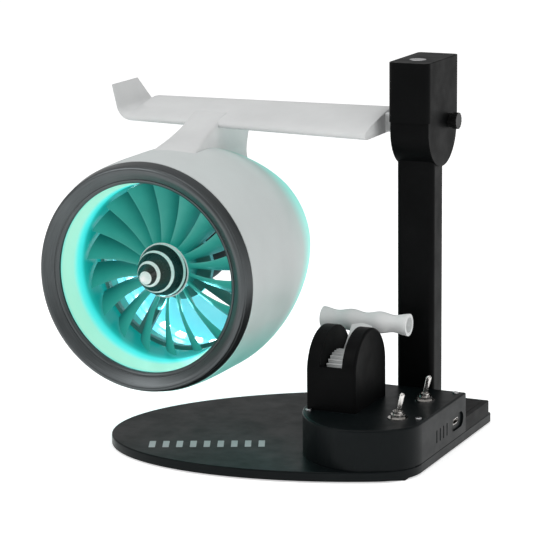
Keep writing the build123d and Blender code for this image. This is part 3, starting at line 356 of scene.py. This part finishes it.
def spinner_paint():
    """Glossy black cone with a white spiral and a white tip."""
    mat, tree, shader = new_mat("spinner_spiral_paint")
    right, back, up = engine_coords(tree)
    angle = math_node(tree, "DIVIDE", math_node(tree, "ARCTAN2", up, right), 2 * math.pi)
    along = math_node(tree, "MULTIPLY", back, 118.0)
    turns = math_node(tree, "FRACT", math_node(tree, "ADD", math_node(tree, "SUBTRACT", along, angle), 0.42))
    stripe = ramp(tree, turns, [(0.0, (0, 0, 0)), (0.60, (0, 0, 0)), (0.63, (1, 1, 1)), (0.84, (1, 1, 1)),
                                (0.87, (0, 0, 0))])
    tip = map_range(tree, back, 0.0071, 0.0075, 1.0, 0.0)
    paint = tree.nodes.new("ShaderNodeMix")
    paint.data_type = "RGBA"
    both = math_node(tree, "MAXIMUM", stripe, tip)
    dust = noise(tree, coords(tree), 200.0, 4.0)
    tree.links.new(both, paint.inputs["Factor"])
    tree.links.new(ramp(tree, dust, [(0.3, (0.006, 0.007, 0.007)), (0.7, (0.014, 0.015, 0.015))]), paint.inputs["A"])
    tree.links.new(ramp(tree, dust, [(0.3, (0.70, 0.74, 0.73)), (0.7, (0.82, 0.85, 0.84))]), paint.inputs["B"])
    tree.links.new(paint.outputs["Result"], shader.inputs["Base Color"])
    tree.links.new(map_range(tree, dust, 0.3, 0.7, 0.22, 0.34, kind="LINEAR"), shader.inputs["Roughness"])
    bump(tree, shader, layers(tree, "Y"), 0.2, 0.00002)
    return mat


MINT, CYAN, AQUA = (0.50, 0.93, 0.78), (0.05, 0.82, 0.86), (0.30, 0.86, 1.0)


def cowl_mix(tree, right, back, up):
    """Glow of the cowl's outside: grows to the rear and low down."""
    rear = map_range(tree, back, 0.060, 0.122)
    low = map_range(tree, up, 0.012, -0.062)
    mixed = math_node(tree, "MULTIPLY", rear, 0.50)
    mixed = math_node(tree, "ADD", mixed, math_node(tree, "MULTIPLY", low, 0.40))
    return math_node(tree, "ADD", mixed, math_node(tree, "MULTIPLY", math_node(tree, "MULTIPLY", low, rear), 0.30))


# The last stops tint the cowl's white base colour cyan towards the rear and low down: painted light.
cowl_white = glow_plastic(
    "cowl_translucent_plastic", (0.60, 0.635, 0.63),
    [(0.0, (0.0, 0.004, 0.004)), (0.22, (0.01, 0.06, 0.05)), (0.5, (0.02, 0.40, 0.33)), (0.85, (0.01, 0.66, 0.60))],
    0.08, cowl_mix, 0.8, 0.42, 0.0,
    [(0.0, (1.0, 1.0, 1.0)), (0.22, (0.94, 1.0, 0.98)), (0.5, (0.55, 0.95, 0.9)), (0.85, (0.10, 0.75, 0.70))])


def duct_mix(tree, right, back, up):
    """Glow of the intake duct: cyan at the lip, pale mint behind it, then brighter cyan, dim beside the fan."""
    return map_range(tree, back, 0.006, 0.036, 0.0, 1.0, kind="LINEAR")


# The last stops tint the duct's white base colour: painted cyan light at the lip and ahead of the fan, painted shade
# beside the fan.
duct_white = glow_plastic(
    "duct_translucent_plastic", (0.44, 0.50, 0.48),
    [(0.0, (0.0, 0.42, 0.38)), (0.10, (0.16, 0.55, 0.38)), (0.42, (0.20, 0.62, 0.44)), (0.56, (0.06, 0.70, 0.66)),
     (0.72, (0.02, 0.62, 0.62)), (0.84, (0.0, 0.30, 0.27)), (1.0, (0.0, 0.22, 0.20))],
    0.08, duct_mix, 0.9, 0.35, 0.0,
    [(0.0, (0.5, 1.0, 1.0)), (0.12, (1.0, 1.0, 1.0)), (0.45, (0.9, 1.0, 1.0)), (0.6, (0.25, 0.9, 0.9)),
     (0.85, (0.05, 0.45, 0.42)), (1.0, (0.03, 0.35, 0.33))])


def inner_mix(tree, right, back, up):
    return map_range(tree, back, 0.065, 0.13, 1.0, 0.0)


inner_white = glow_plastic(
    "inner_lit_plastic", (0.34, 0.46, 0.50),
    [(0.0, (0.02, 0.38, 0.42)), (0.5, (0.04, 0.62, 0.74)), (1.0, (0.10, 0.70, 0.92))],
    0.10, inner_mix, 0.95, 0.35)


def blade_mat():
    """Pale satin blades drawn in a dark teal base colour as painted shade and painted cyan light, with a painted glow
    of light coming through that fades towards their trailing edges.
    """
    mat, tree, shader = new_mat("blade_satin_plastic")
    right, back, up = engine_coords(tree)
    tone = noise(tree, coords(tree), 60.0, 4.0)
    # Painted shade and painted cyan light: the pale blades get a dark teal base colour.
    tree.links.new(ramp(tree, tone, [(0.3, (0.022, 0.10, 0.09)), (0.7, (0.035, 0.14, 0.125))]), shader.inputs["Base Color"])
    shader.inputs["Roughness"].default_value = 0.45
    edge = map_range(tree, back, 0.0323, 0.0458, 1.0, 0.0)
    tree.links.new(ramp(tree, edge, [(0.0, (0.0, 0.07, 0.065)), (1.0, (0.015, 0.33, 0.27))]), shader.inputs["Emission Color"])
    shader.inputs["Emission Strength"].default_value = 0.55
    bump(tree, shader, noise(tree, coords(tree), 1200.0), 0.3, 0.00002)
    return mat


def lamp_mat(name, colour, strength):
    mat, tree, shader = new_mat(name)
    tone = noise(tree, coords(tree), 300.0, 2.0)
    lit = tuple(min(1.0, c * 1.1) for c in colour)
    tree.links.new(ramp(tree, tone, [(0.3, colour), (0.7, lit)]), shader.inputs["Emission Color"])
    shader.inputs["Base Color"].default_value = (0.8, 0.9, 0.9, 1)
    shader.inputs["Emission Strength"].default_value = strength
    return mat


ring_mat, spinner_mat, blades_mat = ring_metal(), spinner_paint(), blade_mat()
chip_mat = lamp_mat("chip_light", (0.75, 0.97, 1.0), 9.0)

# ------------------------------------------------------------------ materials of the CAD pieces that stay
finish = {
    "anti_slip_mat": rubber, "base_plate": black_top, "foot_bolts": steel, "control_box": black_top,
    "cover_screws": steel, "rear_box": black, "rear_lid": black, "column": black_column, "head_shell": black,
    "head_lid": black, "tie_bolt": steel, "cap_disc": steel, "clamp_knob": knob_black, "clamp_stud": steel,
    "light_ring": inner_white, "light_strip": inner_white, "light_chips": chip_mat, "motor_mount": mount_grey,
    "mount_screws": dark_screw, "shaft_bush": brass, "motor": steel, "motor_cover": black, "fan_shaft": steel,
    "throttle_housing": black, "housing_screws": steel, "throttle_lever": lever_white, "pivot_pin": steel,
    "pot_pinion": lever_white, "pot_shaft": steel, "potentiometer": steel, "pot_nut": steel, "pot_bracket": steel,
    "toggle_body_front": chrome, "toggle_body_rear": chrome, "toggle_bat_front": chrome,
    "toggle_bat_rear": chrome, "toggle_washers": chrome, "toggle_nuts": chrome, "control_board": board_green,
    "board_posts": knob_black, "power_socket": chrome, "socket_board": board_green, "spinner_rim": white,
    "cowl": cowl_white, "lip_ring": ring_mat, "intake_duct": duct_white, "fan_rotor": blades_mat,
    "spinner": spinner_mat, "wing": white, "pylon": white,
}
for name, mat in finish.items():
    obj = nodes[name]
    if not obj.data.materials:
        obj.data.materials.append(mat)
    for i in range(len(obj.data.materials)):
        obj.data.materials[i] = mat


# ------------------------------------------------------------------ engine
def shell_radius(t):
    swell = max(0.0, (34.0 - t) / 24.7)
    return 70.8 - 1.1 * swell ** 2 - 20.3 * max(0.0, (t - 60.0) / (SHELL_END - 60.0)) ** 1.6


outer_line = [(9.4 + (SHELL_END - 10.4) * i / 40, shell_radius(9.4 + (SHELL_END - 10.4) * i / 40)) for i in range(41)]
inner_line = [(t, r - 2.2) for t, r in reversed(outer_line)]
end_r = shell_radius(SHELL_END)
rim = [(SHELL_END - 0.3, end_r - 0.05), (SHELL_END, end_r - 0.6), (SHELL_END, end_r - 1.7), (SHELL_END - 0.4, end_r - 2.2)]
cowl = build("engine_cowl", *lathe_y(outer_line + rim + inner_line), "stand", cowl_white, "cowl_plastic", ("cowl",))
cowl.data.materials.append(inner_white)
first_inner = len(outer_line) + len(rim) - 1
per = len(outer_line) + len(rim) + len(inner_line)
for poly in cowl.data.polygons:
    if first_inner <= poly.index % per < per - 1:
        poly.material_index = 1

ring_profile = rounded(
    [(9.3, 59.4), (7.4, 59.0), (7.4, 57.3), (5.6, 57.25), (4.5, 58.6), (4.35, 59.3), (4.75, 59.55), (4.55, 60.0),
     (4.1, 59.95), (1.3, 63.8), (0.05, 66.0), (1.1, 67.6), (2.6, 68.1), (2.85, 67.85), (3.1, 68.2), (9.2, 69.5),
     (9.2, 67.2)],
    [0, 0, 0.3, 0.5, 0.3, 0.1, 0.05, 0.05, 0.1, 4.0, 1.6, 1.2, 0.1, 0.05, 0.1, 0.2, 0], 4)
lip = clean(build("intake_lip", *lathe_y(ring_profile, 256), "stand", ring_mat, "ring_metal", ("lip_ring",)))

bore = [(7.5, 57.25), (11, 56.7), (17, 55.5), (24, 54.6), (32, 54.2), (46, 54.15), (59, 54.9), (69.8, 56.1)]
back = [(70.3, 56.6), (70.3, 57.4), (59, 56.5), (46, 55.75), (32, 55.8), (24, 56.2), (17, 57.1), (11, 58.3), (7.5, 58.85)]
duct = build("intake_bore", *lathe_y(bore + back), "stand", duct_white, "cowl_plastic", ("intake_duct",))


def blade_rings(turn, samples=14):
    """Twisted blade sections from hub to tip, as rings of points round the engine's axis."""
    rings = []
    for k in range(12):
        f = k / 11
        r = 14.6 + (53.0 - 14.6) * f
        chord = 13.0 + 6.5 * f
        thick = 2.0 - 1.1 * f
        stagger = math.radians(20 + 26 * f)
        sweep = 1.8 * math.sin(math.pi * f)
        ring = []
        for j in range(2 * samples):
            a = math.pi * j / samples
            u = math.cos(a) * chord / 2
            camber = 0.06 * chord * (1 - (2 * u / chord) ** 2)
            v = math.sin(a) * thick / 2 + camber
            t = 39.05 + u * math.cos(stagger) - v * math.sin(stagger)
            side = u * math.sin(stagger) + v * math.cos(stagger) + sweep
            angle = turn + side / r
            ring.append((NX + r * math.sin(angle), NY + t, NZ + r * math.cos(angle)))
        rings.append(ring)
    return rings


verts, faces = [], []
for index in range(18):
    v, f = loft_rings(blade_rings(2 * math.pi * index / 18))
    faces += [tuple(i + len(verts) for i in face) for face in f]
    verts += v
hub_profile = rounded([(46.7, 1.6), (31.4, 1.6), (31.4, 14.9), (46.7, 14.9)], [0, 0, 0.5, 1.0])
v, f = lathe_y(hub_profile, 96)
faces += [tuple(i + len(verts) for i in face) for face in f]
verts += v
fan = clean(build("fan_blades", verts, faces, "fan", blades_mat, "blade_plastic", ("fan_rotor",), sharp=50))

nose = [(t + 8.3, r) for t, r in ((-5.0, 0.0), (-4.85, 0.9), (-4.4, 1.65), (-3.6, 2.35), (-2.5, 2.95), (-1.0, 4.0), (2.0, 6.1), (5.0, 8.1),
        (9.0, 10.6), (13.0, 12.8), (17.0, 14.6), (20.0, 15.6), (21.8, 16.1), (22.0, 15.9), (22.0, 0.0))]
cone = clean(build("spinner_cone", *lathe_y(nose, 128, closed=False), "fan", spinner_mat, "black_gloss", ("spinner",)))
rim_ring = clean(build("spinner_ring", *lathe_y(
    rounded([(31.3, 15.2), (30.3, 15.2), (30.3, 16.8), (31.3, 16.8)], [0, 0, 0.4, 0.4]), 128), "fan", white,
    "white_plastic", ("spinner_rim",)))

# ------------------------------------------------------------------ wing
BACK_LINE = ((0.0, 0.16), (0.006, 0.25), (0.024, 0.34), (0.07, 0.44), (0.146, 0.555), (0.23, 0.67), (0.312, 0.775),
             (0.40, 0.87), (0.48, 0.945), (0.566, 0.99), (0.66, 0.955), (0.75, 0.84), (0.85, 0.64), (0.94, 0.38),
             (0.99, 0.18), (1.0, 0.10))
BELLY = ((0.996, 0.02), (0.985, 0.0), (0.9, 0.0), (0.75, 0.0), (0.6, 0.0), (0.45, 0.0), (0.3, 0.0), (0.15, 0.0),
         (0.05, 0.0), (0.02, 0.03), (0.005, 0.09))


def section(x, y, z, chord, thick, lean=0.0):
    a = math.radians(lean)
    return [(x + v * thick * math.sin(a), y + u * chord, z + v * thick * math.cos(a)) for u, v in BACK_LINE + BELLY]


def shrink(ring, amount):
    """The same ring drawn in towards its middle, for a rounded end."""
    cy, cz = sum(p[1] for p in ring) / len(ring), sum(p[2] for p in ring) / len(ring)
    out = []
    for x, y, z in ring:
        d = math.hypot(y - cy, z - cz)
        k = max(0.0, 1 - amount / max(d, 1e-6))
        out.append((x, cy + (y - cy) * k, cz + (z - cz) * k))
    return out


ROOT_X, TIP_X, BEND = 6.4, -155.9, 10.5
root = section(ROOT_X, -2.0, 185.2, 76.0, 14.4)
rings = [[(ROOT_X - 0.05, y, z) for _, y, z in shrink(root, 0.5)], [(ROOT_X - 0.5, y, z) for _, y, z in root]]
for k in range(1, 25):
    f = k / 24
    scale = 1 - 0.2 * f
    rings.append(section(ROOT_X + (TIP_X - ROOT_X) * f, 44 - 46 * scale, 192.6 - 7.4 * scale, 76 * scale, 14.4 * scale))
tip_y, tip_z = 44 - 46 * 0.8, 192.6 - 7.4 * 0.8
for k in range(1, 11):
    f = k / 10
    lean = 76 * f
    a = math.radians(lean)
    chord = 60.8 - 13.8 * f ** 1.2
    thick = 11.5 - 6.9 * f ** 0.8
    rings.append(section(TIP_X - BEND * math.sin(a), tip_y + 1.0 * f, tip_z + BEND * (1 - math.cos(a)), chord, thick, lean))
a = math.radians(76)
rise = 208.6 - tip_z - BEND * (1 - math.cos(a))
for k in range(1, 8):
    f = k / 7
    drop = 1.0 if k == 7 else 0.0
    rings.append(section(TIP_X - BEND * math.sin(a) - rise * f / math.tan(a), tip_y + 1.0 + 0.6 * f,
                         tip_z + BEND * (1 - math.cos(a)) + rise * f, 47.0 - 12.0 * f, 4.6 - 1.6 * f, 76))
last = rings[-1]
mid_y = sum(p[1] for p in last) / len(last)
rings.append([(x, mid_y + (y - mid_y) * 0.985, z + 0.25) for x, y, z in last])
wing = build("wing_skin", *loft_rings(rings), "stand", white, "wing_plastic", (), sharp=48)
clean(wing)
tenon = build("wing_tenon", *loft_rings([[(x, y, z) for y, z in rounded(
    [(30, 186.2), (56, 186.2), (56, 197.6), (30, 197.6)], [0.6] * 4)] for x in (5.9, 34.9)]), "stand", white,
    "wing_plastic", ())
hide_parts("wing")


# ------------------------------------------------------------------ pylon
def pylon_ring(z):
    f = (z - 150.0) / 44.4
    front = -63.9 + 73.1 * (max(z, 176.0) - 168.0) / 26.4
    r_front = 9.5 + 1.5 * (max(z, 176.0) - 168.0) / 26.4
    rear = 49.5 + 16.0 * (z - 150.0) / 40.0
    neck = max(front + 30.0, -8.0 + 30.0 * f)
    r_rear = 7.4
    pts = []
    n = 20
    for k in range(n + 1):
        a = math.pi * (0.5 + k / n)
        pts.append((front + r_front + r_front * math.cos(a), r_front * math.sin(a)))
    stretch = 14
    for k in range(1, stretch):
        u = k / stretch
        s = u * u * (3 - 2 * u)
        y = front + r_front + (neck + 22 - front - r_front) * u
        pts.append((y, -(r_front + (r_rear - r_front) * s)))
    tail = rear - r_rear
    for k in range(n + 1):
        a = -math.pi / 2 + math.pi * k / n
        pts.append((max(tail, neck + 23) + r_rear * math.cos(a), r_rear * math.sin(a)))
    for k in range(stretch - 1, 0, -1):
        u = k / stretch
        s = u * u * (3 - 2 * u)
        y = front + r_front + (neck + 22 - front - r_front) * u
        pts.append((y, r_front + (r_rear - r_front) * s))
    placed = []
    for y, x in pts:
        reach = shell_radius(max(y - NY, 0.0)) ** 2 - x * x
        skin = NZ + math.sqrt(max(reach, 0.0))
        above = max(0.0, z - skin)
        flare = 1.0 + 0.42 * math.exp(-above / 4.5)
        placed.append((NX + x * flare, y - 5.0 * math.exp(-above / 5.0) * (1 if y < neck else 0), max(z, skin - 1.4)))
    return placed


levels = [158 + (194.0 - 158) * i / 22 for i in range(23)]
pylon = clean(build("pylon_fairing", *loft_rings([pylon_ring(z) for z in levels]), "stand", white, "wing_plastic",
                    ("pylon",), sharp=40))

# ------------------------------------------------------------------ plain runway bars on the plate
bar_mat = plastic("printed_bar_grey", (0.42, 0.44, 0.45), (0.52, 0.54, 0.55), (0.4, 0.5), layered=False)
verts, faces = [], []
along = Vector((0.915, 0.404))
across = Vector((-0.404, 0.915))
start = Vector((-101.0, -76.5))
for index in range(9):
    centre = start + along * (index * 8.2)
    corners = [centre + along * sx + across * sy for sx, sy in ((-1.9, -6.5), (1.9, -6.5), (1.9, 6.5), (-1.9, 6.5))]
    outline = rounded([tuple(c) for c in corners], [0.5] * 4, 3)
    v, f = loft_rings([[(x, y, z) for x, y in outline] for z in (PLATE_TOP - 0.1, PLATE_TOP + 0.06)])
    faces += [tuple(i + len(verts) for i in face) for face in f]
    verts += v
marks = clean(build("plate_bars", verts, faces, "stand", bar_mat, "white_plastic", smooth=False))

# ------------------------------------------------------------------ small edges on the CAD pieces that stay
for name, width in (("control_box", 0.5), ("rear_box", 0.5), ("rear_lid", 0.3), ("throttle_housing", 0.6),
                    ("head_shell", 0.3), ("column", 0.3), ("base_plate", 0.4)):
    piece = nodes[name]
    edge = piece.modifiers.new("edges", "BEVEL")
    edge.width = width * MM
    edge.segments = 2
    edge.limit_method = "ANGLE"
    edge.angle_limit = math.radians(50)
    edge.harden_normals = False
for name, piece in nodes.items():
    if not piece.hide_render:
        shade(piece, 32)

# ------------------------------------------------------------------ studio
floor_mat, tree, shader = new_mat("floor_paper")
tone = noise(tree, coords(tree), 3.0, 2.0)
tree.links.new(ramp(tree, tone, [(0.3, (0.93, 0.93, 0.93)), (0.7, (0.95, 0.95, 0.95))]), shader.inputs["Base Color"])
shader.inputs["Roughness"].default_value = 0.8
shader.inputs["Emission Color"].default_value = (1, 1, 1, 1)
shader.inputs["Emission Strength"].default_value = 0.55
bpy.ops.mesh.primitive_plane_add(size=12, location=(0, 0, 0))
floor = bpy.context.object
floor.name = "studio_floor"
floor.data.materials.append(floor_mat)

world = bpy.data.worlds.new("studio")
bpy.context.scene.world = world
world.use_nodes = True
world.node_tree.nodes["Background"].inputs["Color"].default_value = (1, 1, 1, 1)
world.node_tree.nodes["Background"].inputs["Strength"].default_value = 0.5


def area(name, place, aim, size, power, colour=(1, 1, 1)):
    data = bpy.data.lights.new(name, "AREA")
    data.shape = "RECTANGLE"
    data.size, data.size_y = size
    data.energy = power
    data.color = colour
    lamp = bpy.data.objects.new(name, data)
    bpy.context.scene.collection.objects.link(lamp)
    lamp.location = place
    lamp.rotation_euler = (Vector(aim) - Vector(place)).to_track_quat("-Z", "Y").to_euler()
    return lamp


area("key", (-0.9, -1.0, 1.1), (-0.05, 0, 0.12), (0.7, 0.7), 6.5)
area("fill", (1.3, -0.6, 0.9), (0, 0, 0.12), (0.9, 0.9), 4.0)
area("top", (0.0, 0.1, 1.5), (0, 0, 0.1), (0.9, 0.9), 5.0)
area("inner_glow", (NX * MM, (NY + 60) * MM, (NZ - 30) * MM), (NX * MM, (NY + 60) * MM, NZ * MM), (0.03, 0.02), 0.05,
     (0.2, 0.95, 1.0))

cam_data = bpy.data.cameras.new("camera")
camera = bpy.data.objects.new("camera", cam_data)
bpy.context.scene.collection.objects.link(camera)
cam_data.lens = 167.9
cam_data.sensor_width = 36.0
cam_data.clip_start, cam_data.clip_end = 0.05, 50.0
az, el, roll = math.radians(25.04), math.radians(12.35), math.radians(-0.66)
side = Vector((math.cos(az), math.sin(az), 0))
ahead = Vector((-math.sin(az) * math.cos(el), math.cos(az) * math.cos(el), -math.sin(el)))
up = side.cross(ahead)
right = side * math.cos(roll) + up * math.sin(roll)
top = -side * math.sin(roll) + up * math.cos(roll)
place = Matrix((right, top, -ahead)).transposed().to_4x4()
place.translation = (0.5690, -1.3461, 0.4287)
camera.matrix_world = place
scene = bpy.context.scene
scene.camera = camera
scene.view_settings.view_transform = "Standard"
